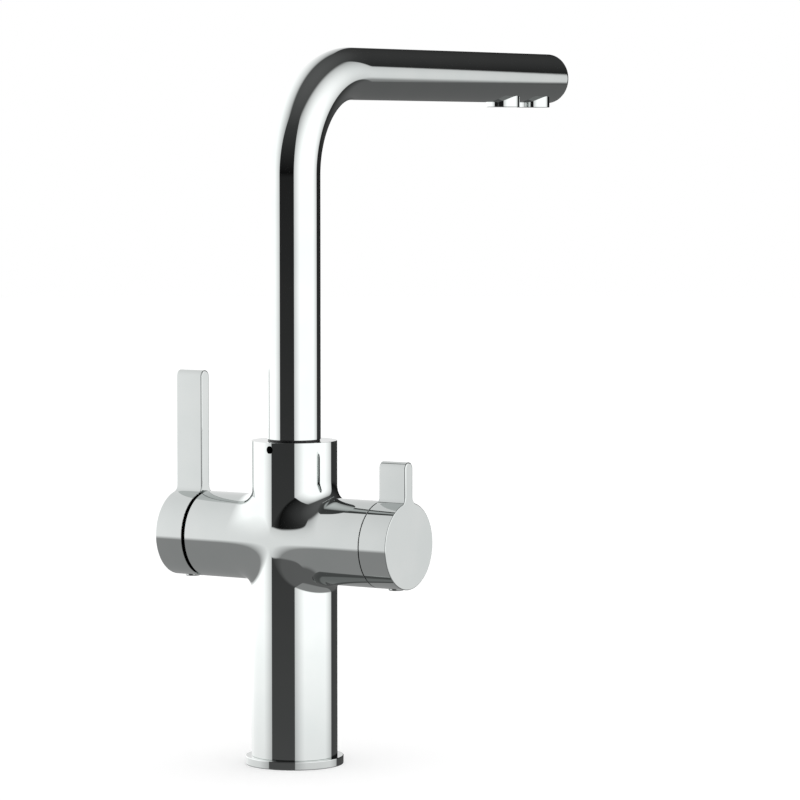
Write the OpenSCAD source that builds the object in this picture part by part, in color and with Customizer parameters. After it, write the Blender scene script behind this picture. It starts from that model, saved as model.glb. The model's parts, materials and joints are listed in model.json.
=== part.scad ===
// Three-way low-pressure mixer tap, in millimetres.
// The origin is the centre of the base on the deck, +Z is up and the spout points to -Y.
// The mixer lever is on the +X arm and the filtered water lever is on the -X arm.

/* [Body] */
// Diameter of the column, the arms and the lever caps
body_d = 45.2; // [44.8:0.2:48]
// Height of the arms' axis above the deck
arm_z = 118.5; // [100:0.5:130]
// Height of the collar's top above the arms' axis
collar_h = 51.9; // [49:0.1:65]
// Distance from the column's axis to each arm's end face
arm_reach = 54.7; // [53:0.1:60]
// Radius of the blend between the column and the arms
blend_r = 9; // [5:0.5:11]
// Wall of the column's hollow foot
column_wall = 4.2; // [3:0.1:5]
// Diameter of the base flange
flange_d = 51.6; // [51:0.2:60]
// Height of the base flange
flange_h = 4.4; // [3:0.1:7]
// Chamfer round the flange's top edge
flange_chamfer = 0.6; // [0.2:0.1:1]

/* [Spout] */
// Outer diameter of the spout tube
tube_d = 28; // [27.4:0.1:30]
// Wall of the spout tube
tube_wall = 1.2; // [0.8:0.1:1.3]
// Height of the horizontal run's axis above the deck
spout_z = 362.3; // [320:0.1:420]
// Radius of the bend along the tube's axis
bend_r = 53.5; // [40:0.5:70]
// Reach of the spout from the column's axis to its end face
spout_reach = 260.4; // [255:0.1:300]
// Diameter of each outlet
outlet_d = 19; // [18:0.1:20]
// Distance from the spout's end face to the farther outlet
outlet_end = 17; // [14:0.1:30]
// Distance between the two outlets
outlet_pitch = 33; // [24:0.5:35]
// How far the outlets stand out below the tube
outlet_drop = 2.6; // [2:0.1:8]
// Outer diameter of the inner tube for filtered water
filter_tube_d = 6; // [5:0.1:6.6]
// Swivel of the spout to either side, in degrees
swivel = 75; // [30:1:100]

/* [Levers] */
// Length of each round cap along the arm
hub_len = 16.6; // [16:0.1:20]
// Wall round each cap
hub_wall = 2.2; // [1.8:0.1:2.6]
// End wall of each cap
hub_end = 2; // [1.5:0.1:2.4]
// Chamfer on the cap's inner rim
hub_chamfer = 0.6; // [0.2:0.1:1]
// Gap between the arm and the tilting mixer cap
mixer_gap = 2.2; // [2:0.1:3]
// Gap between the arm and the filter cap
filter_gap = 0.25; // [0.2:0.05:0.5]
// Thickness of both blades
blade_t = 7; // [5:0.1:8]
// Height of the mixer blade's top above the arm's axis
mixer_blade_h = 86.7; // [60:0.1:110]
// Height of the filter blade's top above the arm's axis
filter_blade_h = 43.4; // [34:0.1:70]
// Radius where each blade meets its cap
blade_fillet = 3.5; // [2:0.1:5]
// Radius of the two corners at each blade's top
blade_top_r = 2.2; // [1:0.1:2.4]
// Largest tilt of the mixer lever, in degrees
tilt = 18; // [10:1:18]

/* [Cartridges] */
// Diameter of the mixer cartridge
cart_d = 25; // [24.6:0.1:25.4]
// Length of the mixer cartridge
cart_len = 27.6; // [27:0.1:30]
// Distance from the mixer cap's rim to the tilt pivot inside it
pivot_in = 12; // [11.5:0.1:12]
// Thickness of the ceramic discs
disc_t = 2.5; // [2:0.1:2.5]
// Distance from the column's axis to the filter valve's seat
filter_seat_x = 30; // [28:0.1:31]
// Diameter of the filter valve's stem
stem_d = 8; // [7:0.1:8.4]

/* [Ports] */
// Thread radius of each hose port
port_r = 3.5; // [3:0.1:3.9]
// Depth of each hose port's thread
port_depth = 10; // [8:0.5:12]
// Thread radius of the deck stud's hole
stud_r = 3.5; // [3:0.1:4.2]
// Depth of the deck stud's thread
stud_depth = 14; // [8:0.5:18]
// Height of the plug in the column's foot
core_h = 24; // [22:0.5:30]
// Outer diameter of the tubes inside the column
riser_d = 6; // [5:0.1:6.4]
// Wall of the tubes inside the column and the spout
riser_wall = 0.8; // [0.5:0.1:1]

/* [Hidden] */
$fn = 96;
e = 0.01;
fit = 0.05;
seal_gap = 0.02;
run_gap = 0.3;

body_r = body_d / 2;
hub_r = body_r;
hub_bore_r = hub_r - hub_wall;
flange_r = flange_d / 2;
collar_z = arm_z + collar_h;
spigot_r = body_r - 1.6;
column_bore_r = body_r - column_wall;

// Places of the four hose ports, which the tubes in the column share
cold_port = [5, 8.5];
hot_port = [5, -8.5];
feed_port = [12, 0];
filter_port = [-11, 0];
ports = [cold_port, hot_port, feed_port, filter_port];
channel_r = riser_d / 2 - riser_wall;
riser_seat = 6;
web_drop = 14.5;
web_z = arm_z - web_drop;
mixed_r = 2.8;
mixed_x = 9;
filter_rise = 8.7;
// Ports of the mixer's seat: place across and up from the arm's axis, radius, and where each way starts
side_port_y = 5.6;
mixer_ports = [
    [side_port_y, -1, channel_r, cold_port[0]],
    [-side_port_y, -1, channel_r, hot_port[0]],
    [0, -6, channel_r, feed_port[0]],
    [0, 5.6, mixed_r, mixed_x]
];

// Socket of the spout in the collar
tail_r = tube_d / 2 - tube_wall - fit;
socket_r = tube_d / 2 - 1.4;
shank_r = socket_r - 0.4;
tail_bore_r = shank_r - 3.2;
ring_h = 0.8;
ring_t = 1.1;
foot_z = collar_z + ring_h;
tail_up = 20;
tail_down = 28.4;
tail_z = collar_z - tail_down;
chamber_z = tail_z - 8;
boss_r = filter_tube_d / 2 + 2.5;
boss_z = tail_z + 4;
inner_tube_z = chamber_z + 2;
screw_z = collar_z - 3.7;
screw_r = 2.2;
screw_tip_r = 1.8;
stop_floor_r = shank_r - 1.3;
bearing_floor_r = shank_r - 1;
bearing_h = 4.5;
upper_bearing_down = 12.6;
bearing_zs = [tail_z + 0.8, collar_z - upper_bearing_down];
oring_wire = 1.12;
oring_floor_r = socket_r - 2 * oring_wire - 2 * seal_gap;
oring_down = 16.5;
oring_step = 4.5;
oring_zs = [collar_z - oring_down - oring_step, collar_z - oring_down];

// Outlets
outlet_r = outlet_d / 2;
outlet_z = spout_z - tube_d / 2 - outlet_drop;
outlet_bore_r = outlet_r - 1.3;
insert_r = outlet_bore_r - fit;
insert_h = 5;
screen_h = 0.4;
outlet_len = 10;
outlet_top_z = outlet_z + outlet_len;
mixed_outlet_y = spout_reach - outlet_end;
filter_outlet_y = mixed_outlet_y - outlet_pitch;
inner_bend_r = filter_tube_d / 2 + 4;

// Mixer, outward along +X from the column's axis
mixer_rim_x = arm_reach + mixer_gap;
mixer_end_x = mixer_rim_x + hub_len;
pivot_x = mixer_rim_x + pivot_in;
head_in = 3.5;
head_half = 13;
head_y = 3.6;
boss_in = 3;
boss_y = 6;
boss_from = 8;
cart_top_x = pivot_x - 7.3;
cart_seat_x = cart_top_x - cart_len;
cart_r = cart_d / 2;
cart_bore_r = cart_r + 0.1;
neck_r = cart_r - 2.1;
chamber_r = neck_r - 1.4;
rim_dip = pivot_in * cos(tilt) + hub_r * sin(tilt);
mouth_floor_x = pivot_x - rim_dip - 0.4;
nut_r = cart_r + 1.5;
nut_thread = 4;
shoulder_x = mouth_floor_x - nut_thread;
nut_end_x = mouth_floor_x + nut_thread;
pin_r = 1.25;
rim_corner_r = max(norm([pivot_in, hub_r - hub_chamfer]), norm([pivot_in - hub_chamfer, hub_r]));
mouth_r = rim_corner_r + run_gap;
turret_in = 11;
turret_out = 8.05;
ring_slot = 0.7;
turret_r = chamber_r - fit;
ear_in = head_y + 0.2;
ear_out = 6.3;
ear_z = 3.2;
ear_top = 2.2;
finger = 12;
tip_r = 1.5;
carrier_in = 15;
carrier_out = 11.3;
carrier_r = 6.6;
carrier_shift = -1.7;
moving_r = 6.2;
moving_in = carrier_in + disc_t;
fixed_in = moving_in + fit + disc_t;
disc_seal_in = fixed_in + 1.5;
grub_r = 2;
grub_hex_r = 1.15;
screw_back = 8;
mixer_screw_x = mixer_end_x - screw_back;

// Filter valve, outward along -X from the column's axis
filter_rim_u = arm_reach + filter_gap;
filter_end_u = filter_rim_u + hub_len;
stem_r = stem_d / 2;
valve_r = 8.5;
valve_thread_r = 10.4;
valve_flange_r = 12;
valve_neck_r = 7;
valve_chamber_r = 7;
valve_body_len = 11;
valve_thread_u = filter_seat_x + valve_body_len;
valve_flange_u = arm_reach - 4.7;
valve_neck_u = valve_flange_u + 3;
valve_end_u = filter_rim_u + 1.6;
filter_disc_u = filter_seat_x + 2.5;
stem_foot_u = filter_disc_u + 2 * disc_t + 2 * fit;
stem_foot_t = 2;
annulus_r = 10;
filter_screw_u = filter_end_u - screw_back;
stem_end_u = filter_end_u - hub_end - 0.5;
plug_r = 4;
plug_out = 0.9;
plug_in = 1.4;

// Upright cylinder of radius r from height z0 to z1
module post(r, z0, z1, x = 0, y = 0) {
    translate([x, y, z0])
        cylinder(r = r, h = z1 - z0);
}

// Upright ring between two radii
module collar(r_out, r_in, z0, z1, x = 0, y = 0) {
    difference() {
        post(r_out, z0, z1, x, y);
        post(r_in, z0 - 1, z1 + 1, x, y);
    }
}

// Cylinder along +X at the height of the arms, moved by y and z
module bar(r, x0, x1, y = 0, z = 0) {
    translate([x0, y, arm_z + z])
        rotate([0, 90, 0])
            cylinder(r = r, h = x1 - x0);
}

// Ring along +X at the height of the arms
module bush(r_out, r_in, x0, x1, y = 0, z = 0) {
    difference() {
        bar(r_out, x0, x1, y, z);
        bar(r_in, x0 - 1, x1 + 1, y, z);
    }
}

// Block given by its lowest and highest corner
module block(low, high) {
    translate(low)
        cube(high - low);
}

// Round seal of wire radius w and outer radius r, lying flat at height z
module o_ring(r, w, z) {
    translate([0, 0, z])
        rotate_extrude()
            translate([r - w, 0])
                circle(r = w, $fn = 24);
}

// One point of the blend between column and arm, where a ball of the blend's radius would roll.
// The ball is sunk a little into both, so that the blend's edges end inside them.
blend_sink = 0.15;
blend_steps = 14;
blend_span = 80;
blend_parts = 6;
ball_r = body_r + blend_r - blend_sink;
function ball(a) = [ball_r * cos(a), ball_r * sin(a), ball_r * cos(a)];
function to_column(a) = -[cos(a), sin(a), 0];
function to_arm(a) = -[0, sin(a), cos(a)];
function turn(a) = acos(to_column(a) * to_arm(a));
function between(a, s) =
    (sin((1 - s) * turn(a)) * to_column(a) + sin(s * turn(a)) * to_arm(a)) / sin(turn(a));
function blend_point(a, s) = ball(a) + blend_r * between(a, s);
function blend_root(a) = 0.4 * (blend_point(a, 0) + blend_point(a, 1));

// Web that rounds one of the four corners between the column and the arms
module blend_web() {
    angles = [for (i = [0 : blend_steps]) -blend_span + 2 * blend_span * i / blend_steps];
    row = blend_parts + 2;
    points = [for (a = angles) each concat(
        [for (j = [0 : blend_parts]) blend_point(a, j / blend_parts)], [blend_root(a)])];
    sides = [for (i = [0 : blend_steps - 1]) for (j = [0 : row - 1])
        each [
            [i * row + j, (i + 1) * row + j, i * row + (j + 1) % row],
            [i * row + (j + 1) % row, (i + 1) * row + j, (i + 1) * row + (j + 1) % row]
        ]];
    first = [for (j = [0 : row - 1]) j];
    last = [for (j = [0 : row - 1]) blend_steps * row + row - 1 - j];
    polyhedron(points, concat([first], sides, [last]));
}

module all_blends() {
    translate([0, 0, arm_z])
        for (side = [0, 1], up = [0, 1])
            mirror([side, 0, 0])
                mirror([0, 0, up])
                    blend_web();
}

// Way up through the web, with the seat of a riser at its foot
module riser_way(port, top_z) {
    post(channel_r, web_z - 1, top_z, port[0], port[1]);
    post(riser_d / 2 + fit, web_z - 1, web_z + riser_seat, port[0], port[1]);
}

module mixer_side_bores() {
    bar(cart_bore_r, cart_seat_x, shoulder_x + 1);
    bar(nut_r + fit, shoulder_x, mouth_floor_x + 1);
    intersection() {
        translate([pivot_x, 0, arm_z])
            sphere(r = mouth_r);
        bar(body_r, mouth_floor_x, arm_reach + 1);
    }
    for (port = mixer_ports)
        bar(port[2], port[3], cart_seat_x + 1, port[0], port[1]);
    post(mixed_r, arm_z + mixer_ports[3][1], chamber_z + 1, mixed_x);
    riser_way(cold_port, arm_z + mixer_ports[0][1]);
    riser_way(hot_port, arm_z + mixer_ports[1][1]);
    riser_way(feed_port, arm_z + mixer_ports[2][1]);
}

module filter_side_bores() {
    mirror([1, 0, 0]) {
        bar(valve_r + 0.1, filter_seat_x, valve_thread_u + 1);
        bar(annulus_r, filter_seat_x + 3, valve_thread_u);
        bar(valve_thread_r + fit, valve_thread_u, valve_flange_u + 1);
        bar(valve_flange_r + 1, valve_flange_u, arm_reach + 1);
        bar(channel_r, -filter_port[0], filter_seat_x + 1);
        bar(channel_r, 0, filter_seat_x + 4, 0, filter_rise);
    }
    riser_way(filter_port, arm_z);
    post(channel_r, arm_z + filter_rise, boss_z + 1);
}

module spout_socket() {
    difference() {
        post(socket_r, chamber_z, collar_z + 1);
        post(boss_r, chamber_z - 1, boss_z);
    }
    post(filter_tube_d / 2 + fit, inner_tube_z, boss_z + 1);
    translate([0, 0, boss_z - 3])
        rotate_extrude()
            translate([filter_tube_d / 2, -0.9])
                square([1.6, 1.8]);
    translate([0, 0, screw_z])
        rotate([-90, 0, 0])
            cylinder(r = screw_r + fit, h = body_r + 1);
}

module body_casting() {
    color("silver")
        difference() {
            union() {
                post(body_r, flange_h, collar_z);
                post(spigot_r, 0, flange_h + 1);
                bar(body_r, -arm_reach, arm_reach);
                all_blends();
            }
            post(column_bore_r, -1, web_z);
            mixer_side_bores();
            filter_side_bores();
            spout_socket();
        }
}

seal_r = flange_r - 1.6;
seal_in_r = seal_r - 1.6;
seal_h = 1.6;

module base_flange() {
    color("silver")
        difference() {
            rotate_extrude()
                polygon([
                    [spigot_r + fit, 0],
                    [flange_r, 0],
                    [flange_r, flange_h - flange_chamfer],
                    [flange_r - flange_chamfer, flange_h],
                    [spigot_r + fit, flange_h]
                ]);
            collar(seal_r, seal_in_r, -1, seal_h);
        }
}

module base_seal() {
    color("dimgray")
        collar(seal_r - fit, seal_in_r + fit, 0, seal_h - seal_gap);
}

core_r = column_bore_r - fit;
core_groove_z = core_h - 5;
core_ring_w = 1;
core_floor_r = column_bore_r - 2 * seal_gap - 2 * core_ring_w;

module inlet_core() {
    color("goldenrod")
        difference() {
            post(core_r, 0, core_h);
            post(stud_r, -1, stud_depth);
            for (port = ports) {
                post(port_r, -1, port_depth, port[0], port[1]);
                post(channel_r, 0, core_h + 1, port[0], port[1]);
                post(riser_d / 2 + fit, core_h - riser_seat, core_h + 1, port[0], port[1]);
            }
            collar(core_r + 1, core_floor_r, core_groove_z - 1.2, core_groove_z + 1.2);
        }
}

module inlet_core_o_ring() {
    color("dimgray")
        o_ring(column_bore_r - seal_gap, core_ring_w, core_groove_z);
}

// Tube from the foot's plug up to its seat below the arms
module riser(port) {
    color("peru")
        collar(riser_d / 2, channel_r, core_h - riser_seat, web_z + riser_seat, port[0], port[1]);
}

module spout_slip_ring() {
    color("dimgray")
        collar(tube_d / 2 - 0.35, tube_d / 2 - 0.35 - ring_t, collar_z, foot_z - fit);
}

module spout_set_screw() {
    color("gray")
        translate([0, 0, screw_z])
            rotate([-90, 0, 0])
                difference() {
                    union() {
                        translate([0, 0, stop_floor_r + run_gap])
                            cylinder(r = screw_tip_r, h = 4);
                        translate([0, 0, socket_r])
                            cylinder(r = screw_r, h = body_r - socket_r - 2);
                    }
                    translate([0, 0, body_r - 4.5])
                        cylinder(r = 1.3, h = 4, $fn = 6);
                }
}

module filter_tube_o_ring() {
    color("dimgray")
        o_ring(filter_tube_d / 2 + 1.6 - seal_gap, 0.8 - seal_gap, boss_z - 3);
}

// L-shaped round bar along the spout's axis, from height z0 to the distance y1
module spout_path(r, z0, y1) {
    post(r, z0, spout_z - bend_r);
    translate([0, -bend_r, spout_z - bend_r])
        rotate([90, 0, 90])
            rotate_extrude(angle = 90)
                translate([bend_r, 0])
                    circle(r = r);
    translate([0, -bend_r, spout_z])
        rotate([90, 0, 0])
            cylinder(r = r, h = y1 - bend_r);
}

module spout_tube() {
    color("silver")
        difference() {
            spout_path(tube_d / 2, foot_z, spout_reach);
            spout_path(tube_d / 2 - tube_wall, foot_z - 1, spout_reach - 2);
            for (y = [filter_outlet_y, mixed_outlet_y])
                post(outlet_r + seal_gap, outlet_z - 1, spout_z, 0, -y);
        }
}

module stop_groove() {
    half = swivel + asin(screw_tip_r / stop_floor_r) + 1;
    rotate([0, 0, 90 - half])
        rotate_extrude(angle = 2 * half)
            translate([stop_floor_r, screw_z - screw_tip_r - run_gap])
                square([shank_r, 2 * (screw_tip_r + run_gap)]);
}

module spout_tail() {
    color("goldenrod")
        difference() {
            union() {
                post(shank_r, tail_z, foot_z + 1);
                post(tail_r, foot_z, foot_z + tail_up);
            }
            post(tail_bore_r, tail_z - 1, foot_z + tail_up + 1);
            stop_groove();
            for (z = bearing_zs)
                collar(shank_r + 1, bearing_floor_r, z, z + bearing_h);
            for (z = oring_zs)
                collar(shank_r + 1, oring_floor_r, z - 1.3, z + 1.3);
        }
}

module bearing_ring(z) {
    color("white")
        collar(socket_r - fit, bearing_floor_r + seal_gap, z + fit, z + bearing_h - fit);
}

module spout_o_rings() {
    color("dimgray")
        for (z = oring_zs)
            o_ring(socket_r - seal_gap, oring_wire, z);
}

// Round bar of radius r from height z0 in the column, round both bends and down to height z1
module inner_path(r, z0, z1) {
    spout_path(r, z0, filter_outlet_y - inner_bend_r);
    translate([0, inner_bend_r - filter_outlet_y, spout_z - inner_bend_r])
        rotate([90, 0, -90])
            rotate_extrude(angle = 90)
                translate([inner_bend_r, 0])
                    circle(r = r);
    post(r, z1, spout_z - inner_bend_r, 0, -filter_outlet_y);
}

module filter_tube() {
    color("white")
        difference() {
            inner_path(filter_tube_d / 2, inner_tube_z, outlet_top_z - 3);
            inner_path(channel_r, inner_tube_z - 1, outlet_top_z - 4);
        }
}

// Outlet nozzle at distance y, open below for its insert
module outlet(y, way_r, seat_r) {
    color("silver")
        difference() {
            post(outlet_r, outlet_z, outlet_top_z, 0, -y);
            post(outlet_bore_r, outlet_z - 1, outlet_top_z - 3.5, 0, -y);
            post(way_r, outlet_z, outlet_top_z + 1, 0, -y);
            post(seat_r, outlet_top_z - 3, outlet_top_z + 1, 0, -y);
        }
}

insert_z = outlet_z + 0.4;
screen_z = insert_z + insert_h;
outlet_seal_z = screen_z + screen_h;

// Insert that straightens the stream, a ring round a square grid
module stream_former(y) {
    pitch = 2.6;
    bar_w = 0.7;
    half_hole = (pitch - bar_w) / 2;
    color("gainsboro")
        difference() {
            post(insert_r, insert_z, screen_z - seal_gap, 0, -y);
            intersection() {
                post(insert_r - 1.2, insert_z - 1, screen_z + 1, 0, -y);
                for (i = [-2 : 2], j = [-2 : 2])
                    translate([i * pitch, j * pitch - y, 0])
                        block([-half_hole, -half_hole, insert_z - 1],
                            [half_hole, half_hole, screen_z + 1]);
            }
        }
}

module outlet_screen(y) {
    color("gray")
        post(insert_r, screen_z, outlet_seal_z - seal_gap, 0, -y);
}

module outlet_seal(y) {
    color("dimgray")
        collar(insert_r, insert_r - 1.6, outlet_seal_z, outlet_top_z - 3.5 - seal_gap, 0, -y);
}

// The four water ways, along +X from x0 to x1
module mixer_ways(x0, x1) {
    for (port = mixer_ports)
        bar(port[2], x0, x1, port[0], port[1]);
}

port_seal_h = 1;
port_seal_w = 1.1;

module mixer_cartridge() {
    color("white")
        difference() {
            union() {
                bar(cart_r, cart_seat_x, shoulder_x);
                bar(neck_r, shoulder_x - 1, cart_top_x);
            }
            bar(chamber_r, pivot_x - disc_seal_in, cart_top_x + 1);
            bar(chamber_r + 0.5, pivot_x - turret_out, pivot_x - turret_out + ring_slot);
            mixer_ways(cart_seat_x - 1, pivot_x - disc_seal_in + 1);
            for (port = mixer_ports)
                bar(port[2] + port_seal_w, cart_seat_x - 1, cart_seat_x + port_seal_h, port[0], port[1]);
        }
}

module mixer_port_seals() {
    color("dimgray")
        for (port = mixer_ports)
            bush(port[2] + port_seal_w - fit, port[2],
                cart_seat_x, cart_seat_x + port_seal_h - fit, port[0], port[1]);
}

module mixer_disc_seal() {
    color("dimgray")
        difference() {
            bar(chamber_r - fit, pivot_x - disc_seal_in, pivot_x - fixed_in - seal_gap);
            mixer_ways(cart_seat_x, pivot_x);
        }
}

module mixer_fixed_disc() {
    color("ivory")
        difference() {
            bar(chamber_r - fit, pivot_x - fixed_in, pivot_x - moving_in - fit);
            mixer_ways(cart_seat_x, pivot_x);
        }
}

module mixer_moving_disc() {
    color("ivory")
        difference() {
            bar(moving_r, pivot_x - moving_in, pivot_x - carrier_in, 0, carrier_shift);
            bar(moving_r - 2, pivot_x - moving_in - 1, pivot_x - moving_in + disc_t / 2, 0, carrier_shift);
        }
}

module mixer_disc_carrier() {
    pocket = tip_r + 0.35;
    color("white")
        difference() {
            bar(carrier_r, pivot_x - carrier_in, pivot_x - carrier_out, 0, carrier_shift);
            block([pivot_x - finger - tip_r - 0.4, -pocket, arm_z - pocket],
                [pivot_x - carrier_out + 1, pocket, arm_z + pocket]);
        }
}

// Rotating base with two ears that carry the pivot pin
module mixer_turret() {
    slot = tip_r + run_gap;
    slot_top = turret_in * tan(tilt) + tip_r / cos(tilt) + 0.35;
    color("gainsboro")
        difference() {
            union() {
                bar(turret_r, pivot_x - turret_in, pivot_x - turret_out);
                for (side = [0, 1])
                    mirror([0, side, 0]) {
                        block([pivot_x - turret_out - 1, ear_in, arm_z - ear_z],
                            [pivot_x, ear_out, arm_z + ear_z]);
                        translate([pivot_x, ear_in, arm_z])
                            rotate([-90, 0, 0])
                                cylinder(r = ear_top, h = ear_out - ear_in);
                    }
            }
            block([pivot_x - turret_in - 1, -slot, arm_z - slot - 0.1],
                [pivot_x - turret_out + 1, slot, arm_z + slot_top]);
            translate([pivot_x, -ear_out - 1, arm_z])
                rotate([-90, 0, 0])
                    cylinder(r = pin_r + e, h = 2 * ear_out + 2);
        }
}

module mixer_turret_ring() {
    color("gray")
        bush(chamber_r + 0.4, norm([ear_out, ear_z]) + run_gap,
            pivot_x - turret_out + fit, pivot_x - turret_out + ring_slot - fit);
}

module mixer_pivot_pin() {
    color("gray")
        translate([pivot_x, -ear_out, arm_z])
            rotate([-90, 0, 0])
                cylinder(r = pin_r, h = 2 * ear_out);
}

// Stem with a cross head that the lever grips and a finger that drives the moving disc
module mixer_stem() {
    color("gray")
        difference() {
            union() {
                block([pivot_x - head_in, -head_y, arm_z - head_half],
                    [mixer_end_x - hub_end - fit, head_y, arm_z + head_half]);
                bar(tip_r, pivot_x - finger, pivot_x - head_in + 1);
                translate([pivot_x - finger, 0, arm_z])
                    sphere(r = tip_r);
            }
            translate([pivot_x, -head_y - 1, arm_z])
                rotate([-90, 0, 0])
                    cylinder(r = pin_r + fit, h = 2 * head_y + 2);
        }
}

module mixer_clamp_nut() {
    color("goldenrod")
        difference() {
            union() {
                bar(nut_r, shoulder_x, mouth_floor_x);
                translate([mouth_floor_x - e, 0, arm_z])
                    rotate([0, 90, 0])
                        cylinder(r = nut_r, h = nut_end_x - mouth_floor_x, $fn = 6);
            }
            bar(neck_r + 0.1, shoulder_x - 1, nut_end_x + 1);
        }
}

// Keyhole outline of a lever seen along its arm, with the blade upwards
module lever_outline(blade_h) {
    half = blade_t / 2;
    fillet_y = half + blade_fillet;
    fillet_z = sqrt(pow(hub_r + blade_fillet, 2) - pow(fillet_y, 2));
    translate([-half, 0])
        square([blade_t, blade_h - blade_top_r]);
    translate([-half + blade_top_r, 0])
        square([blade_t - 2 * blade_top_r, blade_h]);
    for (side = [-1, 1])
        translate([side * (half - blade_top_r), blade_h - blade_top_r])
            circle(r = blade_top_r);
    for (side = [-1, 1])
        difference() {
            polygon([[0, 0], [0, fillet_z], [side * fillet_y, fillet_z]]);
            translate([side * fillet_y, fillet_z])
                circle(r = blade_fillet + e);
        }
}

// Round cap with its blade, open towards the arm; its blade is set back a little from the rim
module lever_shell(rim_x, blade_h) {
    end_x = rim_x + hub_len;
    blade_back = 0.4;
    difference() {
        union() {
            translate([rim_x, 0, arm_z])
                rotate([0, 90, 0])
                    rotate_extrude()
                        polygon([
                            [0, 0],
                            [hub_r - hub_chamfer, 0],
                            [hub_r, hub_chamfer],
                            [hub_r, hub_len],
                            [0, hub_len]
                        ]);
            translate([rim_x + blade_back, 0, arm_z])
                rotate([90, 0, 90])
                    linear_extrude(hub_len - blade_back)
                        lever_outline(blade_h);
        }
        bar(hub_bore_r, rim_x - 1, end_x - hub_end);
    }
}

// Hole for the grub screw and the seat of its plug, in the cap's lowest line
module screw_bore(x, top_z) {
    post(grub_r + fit, arm_z - hub_r - 1, top_z, x);
    post(plug_r + fit, arm_z - hub_r - 2, arm_z - hub_r + plug_in, x);
}

module grub_screw(x, top_z) {
    color("gray")
        difference() {
            post(grub_r, arm_z - hub_r + plug_in + 0.2, top_z, x);
            translate([x, 0, arm_z - hub_r + plug_in])
                cylinder(r = grub_hex_r, h = 2.6, $fn = 6);
        }
}

module screw_plug(x) {
    color("silver")
        post(plug_r, arm_z - hub_r - plug_out, arm_z - hub_r + plug_in - seal_gap, x);
}

module mixer_lever() {
    color("silver")
        difference() {
            union() {
                lever_shell(mixer_rim_x, mixer_blade_h);
                intersection() {
                    bar(hub_bore_r + 0.5, pivot_x - boss_in, mixer_end_x - hub_end + 0.5);
                    for (side = [0, 1])
                        translate([0, 0, arm_z])
                            mirror([0, 0, side])
                                block([pivot_x - boss_in, -boss_y, boss_from],
                                    [mixer_end_x - 0.5, boss_y, hub_r]);
                }
            }
            block([pivot_x - head_in - 1, -head_y - fit, arm_z - head_half - fit],
                [mixer_end_x - hub_end, head_y + fit, arm_z + head_half + fit]);
            screw_bore(mixer_screw_x, arm_z - head_half + 1);
        }
}

module mixer_grub_screw() {
    grub_screw(mixer_screw_x, arm_z - head_half);
}

module mixer_screw_plug() {
    screw_plug(mixer_screw_x);
}

module filter_valve() {
    color("goldenrod")
        mirror([1, 0, 0])
            difference() {
                union() {
                    bar(valve_r, filter_seat_x, valve_thread_u + 1);
                    bar(valve_thread_r, valve_thread_u, valve_flange_u + 1);
                    bar(valve_flange_r, valve_flange_u, valve_neck_u);
                    bar(valve_neck_r, valve_neck_u - 1, valve_end_u);
                }
                bar(valve_chamber_r, filter_seat_x - 1, stem_foot_u + stem_foot_t + fit);
                bar(stem_r + fit, filter_seat_x, valve_end_u + 1);
                block([filter_disc_u + disc_t + 0.4, -2.5, arm_z - valve_r - 1],
                    [filter_disc_u + 2 * disc_t, 2.5, arm_z + valve_r + 1]);
            }
}

// The way through the filter valve's seal and fixed disc, a segment above the axis
module filter_way(x0, x1) {
    bar(1.8, x0, x1, 0, 3);
}

module filter_seat_seal() {
    color("dimgray")
        mirror([1, 0, 0])
            bush(valve_chamber_r - fit, valve_chamber_r - 1.8, filter_seat_x, filter_disc_u - seal_gap);
}

module filter_fixed_disc() {
    color("ivory")
        mirror([1, 0, 0])
            difference() {
                bar(valve_chamber_r - fit, filter_disc_u, filter_disc_u + disc_t);
                filter_way(filter_disc_u - 1, filter_disc_u + disc_t + 1);
            }
}

module filter_moving_disc() {
    color("ivory")
        mirror([1, 0, 0])
            difference() {
                bar(valve_chamber_r - 0.3, filter_disc_u + disc_t + fit, stem_foot_u - fit);
                block([filter_disc_u, -valve_chamber_r, arm_z - 1.5], [stem_foot_u, -1.5, arm_z + 1.5]);
            }
}

stem_seal_u = valve_neck_u - 5;
stem_seal_w = 0.7;
stem_floor_r = stem_r + fit - 2 * seal_gap - 2 * stem_seal_w;
stem_clip_u = valve_end_u + fit;
stem_clip_t = 0.8;

module filter_stem() {
    color("goldenrod")
        mirror([1, 0, 0])
            difference() {
                union() {
                    bar(valve_chamber_r - 0.3, stem_foot_u, stem_foot_u + stem_foot_t);
                    bar(stem_r, stem_foot_u + 1, stem_end_u);
                }
                bush(stem_r + 1, stem_floor_r, stem_seal_u - 0.9, stem_seal_u + 0.9);
                bush(stem_r + 1, stem_r - 0.6, stem_clip_u, stem_clip_u + stem_clip_t + fit);
            }
}

module filter_stem_o_ring() {
    color("dimgray")
        mirror([1, 0, 0])
            translate([stem_seal_u, 0, arm_z])
                rotate([0, 90, 0])
                    o_ring(stem_r + fit - seal_gap, stem_seal_w, 0);
}

module filter_stem_ring() {
    color("gray")
        mirror([1, 0, 0])
            bush(valve_neck_r - 1, stem_r - 0.6 + e, stem_clip_u + e, stem_clip_u + stem_clip_t);
}

module filter_lever() {
    socket_u = stem_clip_u + stem_clip_t + 0.6;
    socket_wall_r = stem_r + 4;
    color("silver")
        mirror([1, 0, 0])
            difference() {
                union() {
                    lever_shell(filter_rim_u, filter_blade_h);
                    bar(socket_wall_r, socket_u, filter_end_u - hub_end + 0.5);
                    intersection() {
                        bar(hub_bore_r + 0.5, socket_u, filter_end_u - hub_end + 0.5);
                        block([socket_u, -boss_y, arm_z - hub_r],
                            [filter_end_u - 0.5, boss_y, arm_z - stem_r - 1]);
                    }
                }
                bar(stem_r + fit, socket_u - 1, stem_end_u + 0.3);
                screw_bore(filter_screw_u, arm_z - stem_r);
            }
}

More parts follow.
